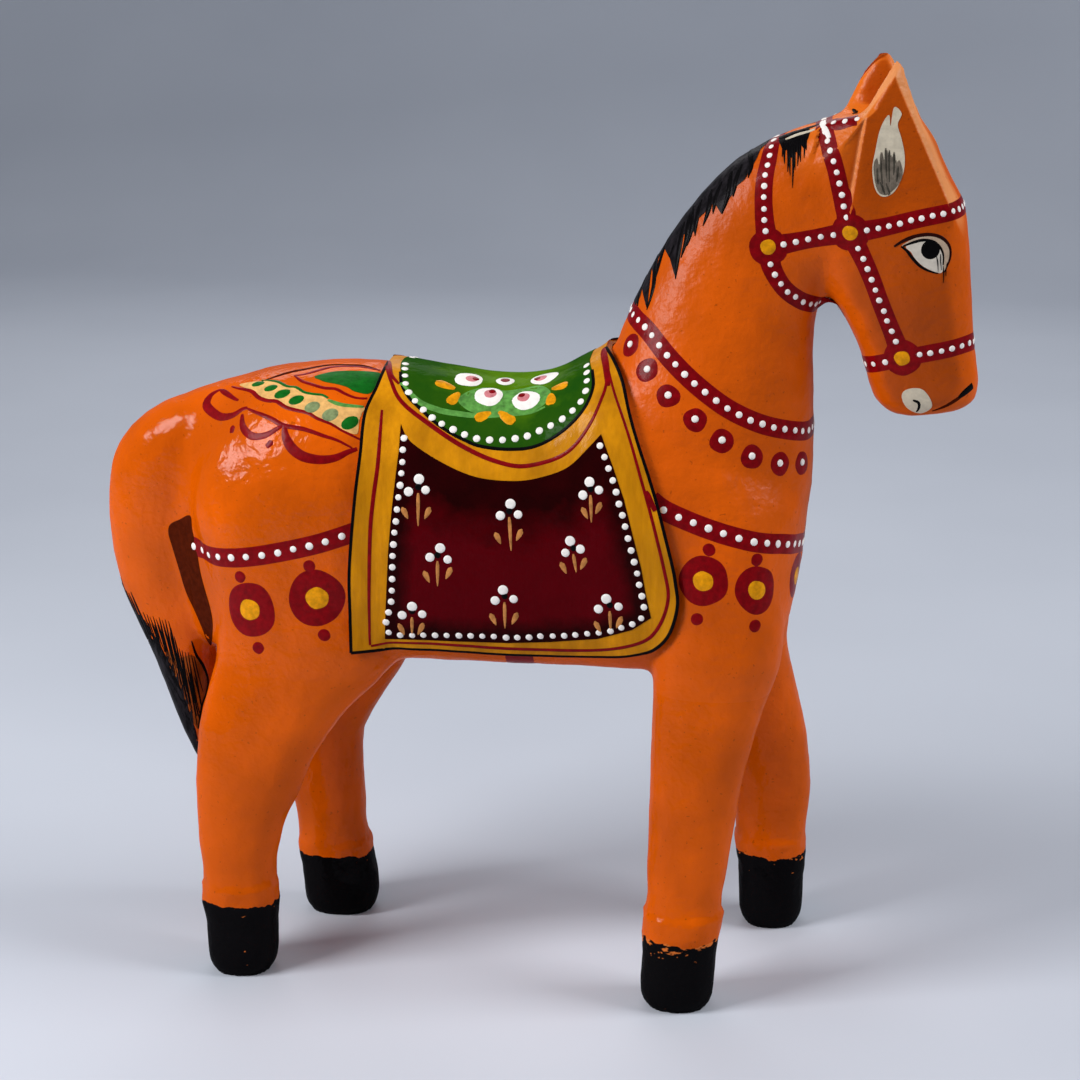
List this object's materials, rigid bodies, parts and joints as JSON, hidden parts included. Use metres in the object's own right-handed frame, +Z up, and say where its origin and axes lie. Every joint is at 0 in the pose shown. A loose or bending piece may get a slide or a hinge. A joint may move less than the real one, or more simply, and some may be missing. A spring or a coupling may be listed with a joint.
{
  "type": "painted wooden horse figurine",
  "caption": "Carved wooden horse figurine that stands on its hooves, lacquered and painted with a folk pattern of saddle cloth, bridle and harness bands.",
  "frame": {"origin": "on the floor under the middle of the figurine's length and width", "axes": "+X towards the horse's nose, -Y its right side, which faces the viewer, +Z up"},
  "size_m": [0.281, 0.0962, 0.2994],
  "materials": {
    "orange_lacquer": "glossy orange lacquer over uneven gesso on carved wood",
    "black_lacquer": "glossy black lacquer on hooves, mane, tail tip and eye lines",
    "crimson_paint": "satin crimson paint of bridle, bands and medallions, maroon on the cloth",
    "ochre_paint": "satin ochre yellow paint of medallion centres, leaves and borders",
    "green_paint": "satin green paint of the seat and the rump leaf",
    "white_paint": "thick warm white paint of dots, petals and eye",
    "painted_cloth": "cloth stiffened with gesso, painted and lacquered",
    "bare_wood": "bare turned hardwood dowels inside the joints"
  },
  "bodies": {
    "root": {"dowel_fore_leg_far_front": "bare_wood", "dowel_fore_leg_far_rear": "bare_wood", "dowel_fore_leg_near_front": "bare_wood", "dowel_fore_leg_near_rear": "bare_wood", "dowel_head_lower": "bare_wood", "dowel_head_upper": "bare_wood", "dowel_hind_leg_far_front": "bare_wood", "dowel_hind_leg_far_rear": "bare_wood", "dowel_hind_leg_near_front": "bare_wood", "dowel_hind_leg_near_rear": "bare_wood", "dowel_neck_lower": "bare_wood", "dowel_neck_upper": "bare_wood", "dowel_tail_lower": "bare_wood", "dowel_tail_upper": "bare_wood", "fore_leg_far": "orange_lacquer", "fore_leg_near": "orange_lacquer", "head": "orange_lacquer", "hind_leg_far": "orange_lacquer", "hind_leg_near": "orange_lacquer", "neck": "orange_lacquer", "saddle_cloth": "painted_cloth", "tail": "orange_lacquer", "torso": "orange_lacquer"}
  },
  "joints": []
}
